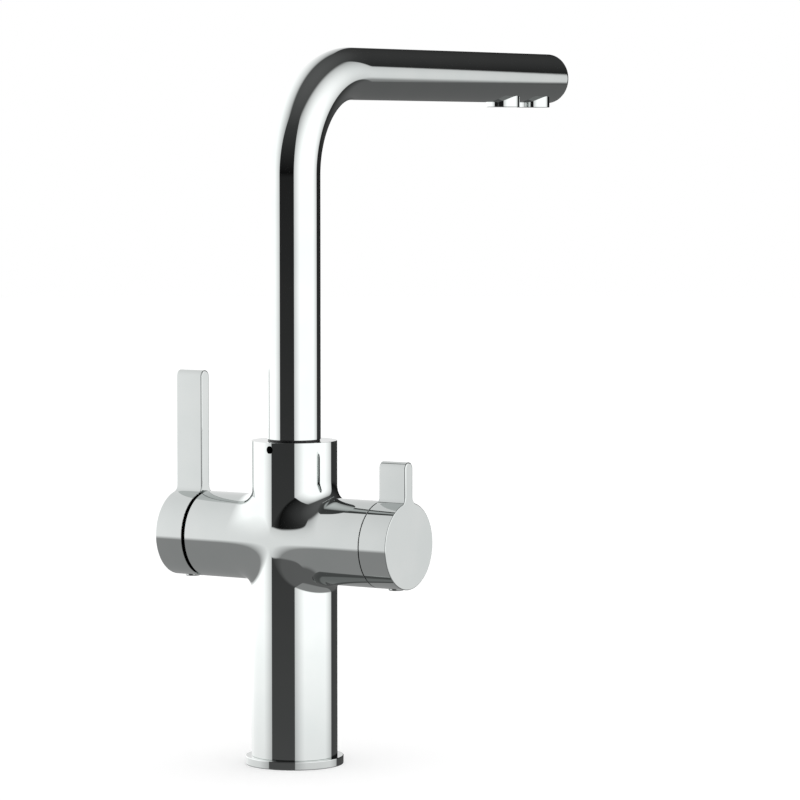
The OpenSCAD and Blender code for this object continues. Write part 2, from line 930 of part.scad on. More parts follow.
module filter_grub_screw() {
    mirror([1, 0, 0])
        grub_screw(filter_screw_u, arm_z - stem_r - seal_gap);
}

module filter_screw_plug() {
    mirror([1, 0, 0])
        screw_plug(filter_screw_u);
}

body_casting();
base_flange();
base_seal();
inlet_core();
inlet_core_o_ring();
riser(cold_port);  // cold_riser
riser(hot_port);  // hot_riser
riser(feed_port);  // heater_feed_riser
riser(filter_port);  // filter_riser
spout_slip_ring();
spout_set_screw();
filter_tube_o_ring();
spout_tube();
spout_tail();
bearing_ring(bearing_zs[1]);  // upper_bearing_ring
bearing_ring(bearing_zs[0]);  // lower_bearing_ring
spout_o_rings();
filter_tube();
outlet(filter_outlet_y, channel_r, filter_tube_d / 2 + fit);  // filter_outlet
outlet(mixed_outlet_y, outlet_bore_r - 2, outlet_bore_r - 2);  // mixed_outlet
stream_former(filter_outlet_y);  // filter_stream_former
stream_former(mixed_outlet_y);  // mixed_stream_former
outlet_screen(filter_outlet_y);  // filter_screen
outlet_screen(mixed_outlet_y);  // mixed_screen
outlet_seal(filter_outlet_y);  // filter_outlet_seal
outlet_seal(mixed_outlet_y);  // mixed_outlet_seal
mixer_cartridge();
mixer_port_seals();
mixer_disc_seal();
mixer_fixed_disc();
mixer_moving_disc();
mixer_disc_carrier();
mixer_turret();
mixer_turret_ring();
mixer_pivot_pin();
mixer_stem();
mixer_clamp_nut();
mixer_lever();
mixer_grub_screw();
mixer_screw_plug();
filter_valve();
filter_seat_seal();
filter_fixed_disc();
filter_moving_disc();
filter_stem();
filter_stem_o_ring();
filter_stem_ring();
filter_lever();
filter_grub_screw();
filter_screw_plug();
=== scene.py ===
"""Three-way mixer tap in polished chrome: the dressed model, its light and its camera."""

import json
import math

import bmesh
import bpy
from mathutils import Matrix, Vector


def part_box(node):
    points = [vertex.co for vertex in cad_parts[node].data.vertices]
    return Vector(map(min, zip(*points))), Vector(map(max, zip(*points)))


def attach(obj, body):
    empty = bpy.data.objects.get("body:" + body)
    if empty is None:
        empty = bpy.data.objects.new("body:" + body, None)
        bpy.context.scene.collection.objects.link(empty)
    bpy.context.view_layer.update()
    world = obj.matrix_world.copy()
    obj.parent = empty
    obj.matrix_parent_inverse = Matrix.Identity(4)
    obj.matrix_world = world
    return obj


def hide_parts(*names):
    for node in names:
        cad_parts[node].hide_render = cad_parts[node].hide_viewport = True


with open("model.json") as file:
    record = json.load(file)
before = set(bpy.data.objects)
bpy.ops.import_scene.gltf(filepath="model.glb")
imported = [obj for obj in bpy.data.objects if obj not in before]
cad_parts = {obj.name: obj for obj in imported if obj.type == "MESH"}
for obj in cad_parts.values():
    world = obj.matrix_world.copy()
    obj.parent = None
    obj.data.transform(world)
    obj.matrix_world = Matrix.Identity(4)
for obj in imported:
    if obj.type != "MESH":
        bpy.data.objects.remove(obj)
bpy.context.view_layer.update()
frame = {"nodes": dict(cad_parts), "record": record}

MM = 0.001

# Sizes read from the frame, in metres
_, flange_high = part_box("base_flange")
_, body_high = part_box("body_casting")
pipe_low, pipe_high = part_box("spout_tube")
mixer_low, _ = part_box("mixer_lever")

BODY_R = body_high.y
ARM_REACH = body_high.x
COLLAR_Z = body_high.z
ARM_Z = mixer_low.z + BODY_R
FLANGE_R = flange_high.x
FLANGE_H = flange_high.z
PIPE_R = pipe_high.x
PIPE_FOOT = pipe_low.z
RUN_Z = pipe_high.z - PIPE_R
REACH = -pipe_low.y

# Spout: radius of the bend on its middle line, wall, rounding of the closed end
BEND_R = 53.5 * MM
PIPE_WALL = 1.2 * MM
PIPE_END_R = 1 * MM

# Inside the casting: radii, heights above the deck, and the chamfers of the socket and the screw's hole
SOCKET_R = 12.6 * MM
SOCKET_FLOOR = 134 * MM
SOCKET_CHAMFER = 0.35 * MM
FOOT_BORE_R = 18.4 * MM
FOOT_BORE_TOP = 104 * MM
SPIGOT_R = 21 * MM
SCREW_Z = 166.7 * MM
SCREW_HOLE_R = 1.95 * MM
SCREW_HOLE_CHAMFER = 0.3 * MM

# Mouths of the arms, the steps of the bores behind them as (radius, distance from the column's middle) in
# mm, from the mouth inwards, and a distance from the column's middle at which both have ended
MIXER_MOUTH_R = 21.35 * MM
MIXER_BORES = ((20.5, 53.55), (19.5, 52.3), (18.5, 51.2), (17.4, 50.1), (14.05, 50.1), (14.05, 46.1),
               (12.6, 46.1), (12.6, 34), (0, 34))
FILTER_MOUTH_R = 13 * MM
FILTER_BORES = ((13, 50), (10.45, 50), (10.45, 41), (8.6, 41), (8.6, 30), (0, 30))
BORES_START = 29 * MM

# Roundings of the edges
END_EDGE = 0.15 * MM
FOOT_EDGE = 0.2 * MM
FLANGE_EDGE = 0.3 * MM
SLIP_EDGE = 0.15 * MM
NOZZLE_EDGE = 0.25 * MM
PLUG_EDGE = 0.55 * MM

# Flange: how much its foot draws in, and its clearance to the casting's spigot. Slip ring: its width.
FLANGE_DRAFT = 0.05 * MM
SPIGOT_CLEARANCE = 0.05 * MM
SLIP_WIDTH = 1.1 * MM

# Outlets: wall and depth of the opening below. Screw plugs: how far they stay above their CAD shape.
NOZZLE_WALL = 1.3 * MM
NOZZLE_DEPTH = 6.5 * MM
PLUG_RECESS = 0.3 * MM

# Levers: half the blade's thickness across, the fillets beside its foot, the rounding of its top, the cap's
# wall and end, the gap beside the filter's arm, and the edges at the rim, round the disc and on the blade
BLADE_HALF = 3.5 * MM
BLADE_FILLET = 3.5 * MM
BLADE_TOP_R = 3.3 * MM
HUB_WALL = 2.2 * MM
HUB_END = 2 * MM
FILTER_GAP = 0.3 * MM
RIM_EDGE = 0.15 * MM
DISC_EDGE = 0.4 * MM
BLADE_EDGE = 0.75 * MM

# How far a cutter or a test goes past the hollow that it is for
OVERLAP = 1 * MM

# Near enough to count as the same place, as a place on the column's wall, as a place on the end face of an
# arm, and as the same point of a mesh
NEAR = 0.05 * MM
ON_WALL = 0.02 * MM
END_FACE = 0.01 * MM
MERGE = 0.002 * MM

# Edges sharper than these angles, in degrees, are rounded, and stay edges in the shading
ROUNDED_ANGLE = 30
SMOOTH_ANGLE = 35

# Five sections of the blend between column and arms, like those of a loft, from the middle of the front (0)
# to the side (1): how high it reaches on the column (mm from the arms' axis), how far out on the arm (mm
# from the column), and how closely it hugs the corner. The photo's reflections show their sizes.
BLEND_AT = (0, 0.15, 0.4, 0.7, 1)
BLEND = {
    "up": ((5.4, 12.5, 20.3, 26.1, 31.6),
           (34.2, 26.9, 19.1, 11.8, 6.3),
           (1.42, 1.13, 0.68, 0.8, 0.85)),
    "down": ((4.3, 12.9, 20.4, 24.8, 27),
             (34.8, 31.3, 19.9, 12.1, 3.8),
             (2.14, 1.3, 0.8, 0.7, 0.78)),
}

# Steps round a full circle, smaller for small pieces, and round half of the casting
ROUND = 128
NOZZLE_ROUND = 96
SMALL_ROUND = 48
SCREW_ROUND = 32
HALF_STEPS = 180
# Steps along the blends, the bend, the edges of the casting and the spout's end, and a lever's outline
BLEND_STEPS = 28
BEND_STEPS = 64
EDGE_STEPS = 4
END_STEPS = 6
FILLET_STEPS = 8
RIM_STEPS = 90

# Camera, fitted to the outlines in the photo: lens and sensor in mm, place in metres and direction
LENS = 174.57
SENSOR = 36
EYE = Vector((-1.141984, 1.673521, 0.327983))
LOOK = Vector((0.53960272, -0.83922829, -0.06726652))

# The studio that the chrome mirrors: two tall white panels to the tap's left and right, dark cloth in
# front and behind, and a grey ground. Levels are linear, and 1 is white.
# Turn of the whole studio about the tap, in degrees
STUDIO_TURN = 3.3
# Where the panels start, as the sideways share of a level direction, and how much sooner the one at the
# front right does
PANEL_EDGE = (0.517, 0.545)
PANEL_WIDER = 0.055
# Light of a panel: its growth with the sideways share, and its start
PANEL_LIGHT = (1.48, -0.246)
# How steep a direction may be before it passes over a panel
PANEL_TOP = (1.6, 2.4)
# Where the grey ground begins under a panel, as the upward share of a direction, and its level
GROUND_TOP = (-0.233, -0.122)
GROUND_IN_PANEL = 0.205
# Grey of the cloth, from straight down (-1) to straight up (1)
CLOTH = ((-1, 0.095), (-0.27, 0.09), (-0.1, 0.034), (0.03, 0.0045), (0.65, 0.037), (1, 0.083))
# How much light the chrome gives back: the studio is so much brighter that the chrome looks as in the photo
CHROME_LEVEL = 0.55
# Light that the camera sees in the floor's paper beside what falls on it, so that open paper is white
PAPER_GLOW = 0.29
# Radius of the floor in metres
FLOOR_R = 6


# Modelling helpers

def deselect():
    """Nothing is selected or active afterwards."""
    for o in bpy.context.selected_objects:
        o.select_set(False)
    bpy.context.view_layer.objects.active = None


def take(piece):
    """Makes this piece the only selected one."""
    deselect()
    piece.select_set(True)
    bpy.context.view_layer.objects.active = piece


def new_mesh(name, points, edges=(), faces=()):
    """A piece from its points, in metres, at the origin."""
    mesh = bpy.data.meshes.new(name)
    mesh.from_pydata([tuple(p) for p in points], list(edges), list(faces))
    piece = bpy.data.objects.new(name, mesh)
    bpy.context.scene.collection.objects.link(piece)
    return piece


def added(name):
    """The primitive just added, named, with its place put into its mesh."""
    piece = bpy.context.active_object
    piece.name = name
    piece.data.name = name
    bpy.ops.object.transform_apply(location=True, rotation=True, scale=True)
    return piece


def modify(piece, kind, **settings):
    """Adds a modifier with its settings and applies it."""
    take(piece)
    m = piece.modifiers.new(kind.title(), kind)
    for key, value in settings.items():
        setattr(m, key, value)
    bpy.ops.object.modifier_apply(modifier=m.name)


def outward(piece):
    """Merges doubles and turns every face outwards."""
    take(piece)
    bpy.ops.object.mode_set(mode="EDIT")
    bpy.ops.mesh.select_all(action="SELECT")
    bpy.ops.mesh.remove_doubles(threshold=MERGE)
    bpy.ops.mesh.normals_make_consistent(inside=False)
    bpy.ops.object.mode_set(mode="OBJECT")


def cut(piece, cutter):
    """Takes the cutter's shape out of the piece and deletes the cutter."""
    modify(piece, "BOOLEAN", operation="DIFFERENCE", solver="EXACT", object=cutter)
    bpy.data.objects.remove(cutter)


def smooth(piece):
    """Smooth shading that keeps the flats flat and the edges crisp."""
    take(piece)
    bpy.ops.object.shade_smooth_by_angle(angle=math.radians(SMOOTH_ANGLE))
    modify(piece, "WEIGHTED_NORMAL", mode="FACE_AREA_WITH_ANGLE", weight=80, keep_sharp=True)


def round_edges(piece, width, segments=3):
    """Rounds every sharp edge, by one width or by a width worked out from the edge's middle."""
    if not callable(width):
        modify(piece, "BEVEL", width=width, segments=segments, limit_method="ANGLE",
               angle_limit=math.radians(ROUNDED_ANGLE), use_clamp_overlap=False)
        return
    edges = bmesh.new()
    edges.from_mesh(piece.data)
    share = edges.edges.layers.float.new("bevel_weight_edge")
    for e in edges.edges:
        if e.calc_face_angle(0) > math.radians(ROUNDED_ANGLE):
            e[share] = width((e.verts[0].co + e.verts[1].co) / 2) / MM
    edges.to_mesh(piece.data)
    edges.free()
    modify(piece, "BEVEL", width=1 * MM, segments=segments, limit_method="WEIGHT", use_clamp_overlap=False)


def turned(name, outline, centre=(0, 0, 0), axis="Z", steps=ROUND):
    """Turned as on a lathe: the outline is (radius, along) pairs in metres, spun about an axis."""
    spun = {"Z": Vector((0, 0, 1)), "X": Vector((1, 0, 0)), "Y": Vector((0, 1, 0))}[axis]
    side = {"Z": Vector((1, 0, 0)), "X": Vector((0, 1, 0)), "Y": Vector((0, 0, 1))}[axis]
    middle = Vector(centre)
    points = [middle + side * r + spun * a for r, a in outline]
    closed = outline[0][0] > 0 and outline[-1][0] > 0
    links = [(i, i + 1) for i in range(len(points) - 1)]
    if closed:
        links.append((len(points) - 1, 0))
    piece = new_mesh(name, points, links)
    take(piece)
    bpy.ops.object.mode_set(mode="EDIT")
    bpy.ops.mesh.select_all(action="SELECT")
    bpy.ops.mesh.spin(steps=steps, angle=2 * math.pi, center=middle, axis=spun)
    bpy.ops.object.mode_set(mode="OBJECT")
    outward(piece)
    return piece


# Camera

camera_data = bpy.data.cameras.new("camera")
camera_data.lens = LENS
camera_data.sensor_width = SENSOR
camera_data.clip_start = 0.05
camera_data.clip_end = 50
camera = bpy.data.objects.new("camera", camera_data)
bpy.context.scene.collection.objects.link(camera)
camera.location = EYE
camera.rotation_euler = LOOK.to_track_quat("-Z", "Y").to_euler()
bpy.context.scene.camera = camera


# Body casting

def arc(centre, radius, start, end, steps):
    """Points of an arc in a plane, with both ends, from one angle to another in degrees."""
    turns = [math.radians(start + (end - start) * i / steps) for i in range(steps + 1)]
    return [(centre[0] + radius * math.cos(turn), centre[1] + radius * math.sin(turn)) for turn in turns]


def end_rows(reach, edge, inside):
    """Rows (radius, along) from the wall at the rounded end edge, over the end face and down the bores."""
    return arc((BODY_R - edge, reach - edge), edge, 0, 90, EDGE_STEPS) + inside


def in_mm(rows):
    """Pairs in millimetres as pairs in metres."""
    return [(r * MM, along * MM) for r, along in rows]


# Each end of the cross: how far it reaches and what its bores look like inside
up_reach = COLLAR_Z - ARM_Z
down_reach = ARM_Z - FLANGE_H
ENDS = {
    "up": end_rows(up_reach, END_EDGE, [
        (SOCKET_R + SOCKET_CHAMFER, up_reach), (SOCKET_R, up_reach - SOCKET_CHAMFER),
        (SOCKET_R, SOCKET_FLOOR - ARM_Z), (0, SOCKET_FLOOR - ARM_Z)]),
    "down": end_rows(down_reach, FOOT_EDGE, [
        (SPIGOT_R, down_reach), (SPIGOT_R, ARM_Z), (FOOT_BORE_R, ARM_Z),
        (FOOT_BORE_R, ARM_Z - FOOT_BORE_TOP), (0, ARM_Z - FOOT_BORE_TOP)]),
    "mixer": end_rows(ARM_REACH, END_EDGE, [(MIXER_MOUTH_R, ARM_REACH)] + in_mm(MIXER_BORES)),
    "filter": end_rows(ARM_REACH, END_EDGE, [(FILTER_MOUTH_R, ARM_REACH)] + in_mm(FILTER_BORES)),
}


def slopes(places, values):
    """The slopes of a smooth curve through the values, which doesn't overshoot between them."""
    gap = [b - a for a, b in zip(places, places[1:])]
    rise = [(b - a) / g for a, b, g in zip(values, values[1:], gap)]
    inner = []
    for k in range(1, len(gap)):
        a, b = 2 * gap[k] + gap[k - 1], gap[k] + 2 * gap[k - 1]
        inner.append((a + b) / (a / rise[k - 1] + b / rise[k]) if rise[k - 1] * rise[k] > 0 else 0)
    ends = []
    for g, h, r, s in ((gap[0], gap[1], rise[0], rise[1]), (gap[-1], gap[-2], rise[-1], rise[-2])):
        end = ((2 * g + h) * r - g * s) / (g + h)
        if end * r <= 0:
            end = 0
        elif r * s <= 0 and abs(end) > 3 * abs(r):
            end = 3 * r
        ends.append(end)
    return [ends[0], *inner, ends[1]]


def curve(places, values):
    """A smooth function through the values at the places."""
    slope = slopes(places, values)

    def at(c):
        k = max(i for i in range(len(places) - 1) if places[i] <= c or i == 0)
        width = places[k + 1] - places[k]
        t = (c - places[k]) / width
        return ((1 + 2 * t) * (1 - t) ** 2 * values[k] + t * (1 - t) ** 2 * width * slope[k]
                + t * t * (3 - 2 * t) * values[k + 1] + t * t * (t - 1) * width * slope[k + 1])

    return at


blend_curves = {column: [curve(BLEND_AT, values) for values in sizes] for column, sizes in BLEND.items()}


def blend_point(column, angle, t):
    """A point of the blend, t from 0 on the column to 1 on the arm.

    In planes along the arm, column and arm are straight lines that meet in a corner. A conic rounds the
    corner off: nearly a circle at the sides of the cross, and hugging the corner more in front. The power
    spreads the points evenly."""
    c, s = math.cos(angle), math.sin(angle)
    corner = BODY_R * c
    height, width, hug = [size(c) for size in blend_curves[column]]
    top, end = height * MM, corner + width * MM
    if t <= 0:
        return Vector((corner, BODY_R * s, top))
    if t >= 1:
        return Vector((end, BODY_R * s, corner))
    ratio = (t / (1 - t)) ** (1 + 0.5 * math.log(1 + hug))
    whole = 1 + 2 * hug * ratio + ratio * ratio
    out, up = (end - corner) * ratio * ratio / whole, (top - corner) / whole
    return Vector((corner + out, BODY_R * s, corner + up))


def blend_direction(column, angle, t):
    """The outward direction of the blend at the same place, from its two slopes."""
    c, s = math.cos(angle), math.sin(angle)
    if c < 0.001:
        return Vector((0, s, 0))
    if t <= 0:
        return Vector((c, s, 0))
    if t >= 1:
        return Vector((0, s, c))
    step = 0.0001
    along = blend_point(column, angle + step, t) - blend_point(column, angle - step, t)
    across = blend_point(column, angle, t + step) - blend_point(column, angle, t - step)
    n = along.cross(across).normalized()
    return n if n.dot(Vector((1, 0, 1))) > 0 else -n


def casting_row(column, arm, angle):
    """One line over the skin, from the bores of the column over the blend into the bores of the arm: its
    points, each with the skin's exact direction where that matters."""
    c, s = math.cos(angle), math.sin(angle)
    row = [(Vector((r * c, r * s, z)), None) for r, z in reversed(ENDS[column])]
    row[-1] = (row[-1][0], Vector((c, s, 0)))
    for k in range(BLEND_STEPS + 1):
        t = k / BLEND_STEPS
        row.append((blend_point(column, angle, t), blend_direction(column, angle, t)))
    over_arm = [(Vector((x, r * s, r * c)), None) for r, x in ENDS[arm]]
    over_arm[0] = (over_arm[0][0], Vector((0, s, c)))
    return row + over_arm


def casting():
    """Column and arms in one skin with a blend in the four corners, and the skin's exact directions."""
    points, faces, directions, caps = [], [], {}, ([], [])
    angles = [math.radians(-90 + 180 * i / HALF_STEPS) for i in range(HALF_STEPS + 1)]
    for side, arm in ((1, "mixer"), (-1, "filter")):
        for up, column in ((1, "up"), (-1, "down")):
            base = len(points)
            for angle in angles:
                row = casting_row(column, arm, angle)
                for p, n in row:
                    points.append(Vector((side * p.x, p.y, up * p.z + ARM_Z)))
                    if n:
                        directions[place_key(points[-1])] = Vector((side * n.x, n.y, up * n.z))
            width = len(row)
            first = base + len(ENDS[column])
            for k, start in ((0, first), (1, first + HALF_STEPS * width)):
                run = list(range(start, start + BLEND_STEPS + 1))
                caps[k].append(run if side == up else run[::-1])
            for i in range(HALF_STEPS):
                for j in range(width - 1):
                    k = base + i * width + j
                    faces.append((k, k + width, k + width + 1, k + 1))
    # The four blends leave a flat field open at the front and at the back of the cross
    for cap in caps:
        faces.append([k for part in (cap[0], cap[1], cap[3], cap[2]) for k in part[:-1]])
    piece = new_mesh("body_casting_skin", points, (), faces)
    outward(piece)
    return piece, directions


def place_key(p):
    """A point's place in hundredths of a millimetre, to find it again after a cut."""
    return tuple(round(v / (0.01 * MM)) for v in p)


def exact_skin(piece, directions):
    """Gives the outer skin its exact directions, so that the chrome mirrors without ripples."""
    take(piece)
    bpy.ops.object.shade_smooth_by_angle(angle=math.radians(SMOOTH_ANGLE))
    mesh = piece.data
    normals = [(0, 0, 0)] * len(mesh.loops)
    for face in mesh.polygons:
        across = face.normal
        flat = max(abs(across.x), abs(across.z)) > 0.99999
        for k in face.loop_indices:
            p = mesh.vertices[mesh.loops[k].vertex_index].co
            n = directions.get(place_key(p))
            # The rim of the set screw's hole has no direction of its own, but it lies on the column's wall
            if n is None and abs(math.hypot(p.x, p.y) - BODY_R) < ON_WALL and abs(across.z) < 0.2:
                n = Vector((p.x, p.y, 0)).normalized()
            if flat:
                n = across
            if n is not None and n.dot(across) > 0.95:
                normals[k] = tuple(n)
    mesh.normals_split_custom_set(normals)


body, body_directions = casting()
hole_start, hole_end = SOCKET_R - OVERLAP, BODY_R + 0.2 * MM
hole = turned("hole", [(0, hole_start), (SCREW_HOLE_R, hole_start),
                       (SCREW_HOLE_R, hole_end - SCREW_HOLE_CHAMFER),
                       (SCREW_HOLE_R + SCREW_HOLE_CHAMFER, hole_end), (0, hole_end)],
              centre=(0, 0, SCREW_Z), axis="Y", steps=SMALL_ROUND)
cut(body, hole)
exact_skin(body, body_directions)


def set_screw():
    """Threaded grub screw with a plain tip and a hexagon socket, at the back of the collar."""
    low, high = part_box("spout_set_screw")
    tip_r, thread_r, root_r, pitch = 1.1 * MM, 1.85 * MM, 1.55 * MM, 0.7 * MM
    socket_r, socket_depth = 1.15 * MM, 1.8 * MM
    start, end = SOCKET_R + 0.2 * MM, high.y
    outline = [(0, low.y), (tip_r, low.y), (tip_r, start), (root_r, start)]
    along = start
    while along + pitch < end:
        outline += [(thread_r, along + pitch * 0.4), (thread_r, along + pitch * 0.6), (root_r, along + pitch)]
        along += pitch
    outline += [(root_r, end), (0, end)]
    piece = turned("set_screw", outline, centre=(0, 0, SCREW_Z), axis="Y", steps=SCREW_ROUND)
    deselect()
    bpy.ops.mesh.primitive_cylinder_add(vertices=6, radius=socket_r, depth=2 * socket_depth,
                                        location=(0, end, SCREW_Z), rotation=(math.pi / 2, 0, 0))
    cut(piece, added("socket"))
    smooth(piece)
    return piece


screw = set_screw()


# Foot, collar and spout

def held(corners, reach):
    """An outline with a point on each side of every corner, so that the flats stay flat up to the edges."""
    points = []
    for k, corner in enumerate(corners):
        sides = []
        for other in (corners[k - 1], corners[(k + 1) % len(corners)]):
            away = Vector(other) - Vector(corner)
            sides.append(tuple(Vector(corner) + away.normalized() * min(reach, away.length / 2.5)))
        points += [sides[0], corner, sides[1]]
    return points


inner_r = SPIGOT_R + SPIGOT_CLEARANCE
flange = turned("base_ring", held([(inner_r, 0), (FLANGE_R - FLANGE_DRAFT, 0), (FLANGE_R, FLANGE_H),
                                   (inner_r, FLANGE_H)], FLANGE_EDGE * 1.5))
round_edges(flange, FLANGE_EDGE)
smooth(flange)

ring_low, ring_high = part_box("spout_slip_ring")
ring_r = ring_high.x
slip = turned("collar_slip_ring", [(ring_r - SLIP_WIDTH, ring_low.z), (ring_r, ring_low.z),
                                   (ring_r, ring_high.z), (ring_r - SLIP_WIDTH, ring_high.z)])
round_edges(slip, SLIP_EDGE, 2)
smooth(slip)


def pipe():
    """The spout's tube: drawn up, bent on a former and drawn out to just before its end."""
    deselect()
    bpy.ops.mesh.primitive_circle_add(vertices=ROUND, radius=PIPE_R, location=(0, 0, PIPE_FOOT))
    piece = added("spout_pipe")
    take(piece)
    bpy.ops.object.mode_set(mode="EDIT")
    bpy.ops.mesh.select_all(action="SELECT")
    straight = RUN_Z - BEND_R - PIPE_FOOT
    support = 1 * MM
    for step in (support, straight - 2 * support, support):
        bpy.ops.mesh.extrude_region_move(TRANSFORM_OT_translate={"value": (0, 0, step)})
    bpy.ops.mesh.spin(steps=BEND_STEPS, angle=math.pi / 2, axis=(-1, 0, 0),
                      center=(0, -BEND_R, RUN_Z - BEND_R))
    run = REACH - BEND_R
    for step in (support, run - 2 * support - PIPE_END_R, support):
        bpy.ops.mesh.extrude_region_move(TRANSFORM_OT_translate={"value": (0, -step, 0)})
    bpy.ops.object.mode_set(mode="OBJECT")
    return piece


def close_end(piece):
    """Rounds the end's edge in small steps and closes it with a flat face."""
    take(piece)
    bpy.ops.object.mode_set(mode="EDIT")
    last = (0, -(REACH - PIPE_END_R), RUN_Z)
    for i in range(1, END_STEPS + 1):
        t = math.radians(90 * i / END_STEPS)
        before = math.radians(90 * (i - 1) / END_STEPS)
        along = PIPE_END_R * (math.sin(t) - math.sin(before))
        radius = PIPE_R - PIPE_END_R * (1 - math.cos(t))
        shrink = radius / (PIPE_R - PIPE_END_R * (1 - math.cos(before)))
        bpy.ops.mesh.extrude_region_move(TRANSFORM_OT_translate={"value": (0, -along, 0)})
        bpy.ops.transform.resize(value=(shrink, 1, shrink), center_override=last)
    bpy.ops.mesh.edge_face_add()
    bpy.ops.object.mode_set(mode="OBJECT")


spout = pipe()
close_end(spout)
outward(spout)
modify(spout, "SOLIDIFY", thickness=PIPE_WALL, offset=-1)
smooth(spout)


def nozzle(name, node):
    """Outlet: a short turned collar, open below round its stream former."""
    low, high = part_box(node)
    radius = (high.x - low.x) / 2
    y = (low.y + high.y) / 2
    bore, ceiling = radius - NOZZLE_WALL, low.z + NOZZLE_DEPTH
    piece = turned(name, [(0, ceiling), (bore, ceiling), (bore, low.z),
                          (radius, low.z), (radius, high.z), (0, high.z)],
                   centre=(0, y, 0), steps=NOZZLE_ROUND)
    round_edges(piece, NOZZLE_EDGE)
    smooth(piece)
    return piece


near_nozzle = nozzle("near_nozzle", "filter_outlet")
far_nozzle = nozzle("far_nozzle", "mixed_outlet")


# Levers

def keyhole(top):
    """Outline of a lever seen along its arm, as (across, up) from the arm's axis."""
    half, r = BLADE_HALF, BODY_R
    fillet_y = half + BLADE_FILLET
    fillet_z = math.sqrt((r + BLADE_FILLET) ** 2 - fillet_y ** 2)
    meet = math.degrees(math.atan2(fillet_z, fillet_y))
    rim = arc((0, 0), r, -90, meet, RIM_STEPS)
    neck = arc((fillet_y, fillet_z), BLADE_FILLET, 180 + meet, 180, FILLET_STEPS)
    corner = arc((half - BLADE_TOP_R, top - BLADE_TOP_R), BLADE_TOP_R, 0, 90, FILLET_STEPS)
    right = rim + neck[1:] + corner
    left = [(-y, z) for y, z in reversed(right[1:])]
    return right + left


def lever(name, node, side):
    """Round cap and flat blade, cut from one outline, and hollowed from the arm's side."""
    low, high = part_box(node)
    near, far = (low.x, high.x) if side > 0 else (high.x - FILTER_GAP, low.x)
    outline = [Vector((near, y, z + ARM_Z)) for y, z in keyhole(high.z - ARM_Z)]
    piece = new_mesh(name, outline, (), [tuple(range(len(outline)))])
    take(piece)
    bpy.ops.object.mode_set(mode="EDIT")
    bpy.ops.mesh.select_all(action="SELECT")
    bpy.ops.mesh.extrude_region_move(TRANSFORM_OT_translate={"value": (far - near, 0, 0)})
    bpy.ops.object.mode_set(mode="OBJECT")
    outward(piece)
    bore = BODY_R - HUB_WALL
    start, end = near - side * OVERLAP, far - side * HUB_END
    deselect()
    bpy.ops.mesh.primitive_cylinder_add(vertices=ROUND, radius=bore, depth=abs(end - start),
                                        location=((start + end) / 2, 0, ARM_Z),
                                        rotation=(0, math.pi / 2, 0))
    cut(piece, added("bore"))

    def width(p):
        """Small at the rim beside the arm and on the disc, and growing up the blade."""
        if math.hypot(p.y, p.z - ARM_Z) < BODY_R + 2 * NEAR:
            return RIM_EDGE if abs(p.x - near) < 2 * NEAR else DISC_EDGE
        rise = min(1, max(0, (p.z - ARM_Z - BODY_R) / BLADE_FILLET))
        return DISC_EDGE + (BLADE_EDGE - DISC_EDGE) * rise

    round_edges(piece, width)
    smooth(piece)
    return piece


mixer_handle = lever("mixer_handle", "mixer_lever", 1)
filter_handle = lever("filter_handle", "filter_lever", -1)


def plug(name, node):
    """Small domed cover over the grub screw under a cap."""
    low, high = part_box(node)
    radius = (high.x - low.x) / 2
    under = low.z + PLUG_RECESS
    piece = turned(name, [(0, under), (radius, under), (radius, high.z), (0, high.z)],
                   centre=((low.x + high.x) / 2, 0, 0), steps=SMALL_ROUND)
    round_edges(piece, PLUG_EDGE, 4)
    smooth(piece)
    return piece


mixer_plug = plug("mixer_cap_plug", "mixer_screw_plug")
filter_plug = plug("filter_cap_plug", "filter_screw_plug")


# Materials

def linear(code):
    """Linear colour from an sRGB hex value."""
    parts = [int(code[i:i + 2], 16) / 255 for i in (1, 3, 5)]
    return tuple(p / 12.92 if p <= 0.04045 else ((p + 0.055) / 1.055) ** 2.4 for p in parts) + (1.0,)


def feed(made, inputs):
    """Fills a node's inputs: a socket is linked, and anything else is the input's value."""
    for key, value in inputs.items():
        if isinstance(value, bpy.types.NodeSocket):
            made.id_data.links.new(value, made.inputs[key])
        else:
            made.inputs[key].default_value = value


def node(tree, kind, settings=None, inputs=None):
    """Adds a node with its settings and its inputs."""
    made = tree.nodes.new(kind)
    for key, value in (settings or {}).items():
        setattr(made, key, value)
    feed(made, inputs or {})
    return made


def patches_of(size):
    """The scale of a noise whose patches are this many millimetres wide."""
    return 1 / (size * MM)


def lines_of(pitch):
    """The scale of a wave texture whose lines are this many millimetres apart."""
    return 2 * math.pi / (20 * pitch * MM)


def new_material(name, **constants):
    """A material, its tree, its shader, and the piece's own coordinates in metres."""
    material = bpy.data.materials.new(name)
    material.use_nodes = True
    tree = material.node_tree
    tree.nodes.clear()
    inputs = {key.replace("_", " "): value for key, value in constants.items()}
    shader = node(tree, "ShaderNodeBsdfPrincipled", None, inputs)
    node(tree, "ShaderNodeOutputMaterial", None, {"Surface": shader.outputs["BSDF"]})
    return material, tree, shader, node(tree, "ShaderNodeTexCoord").outputs["Object"]


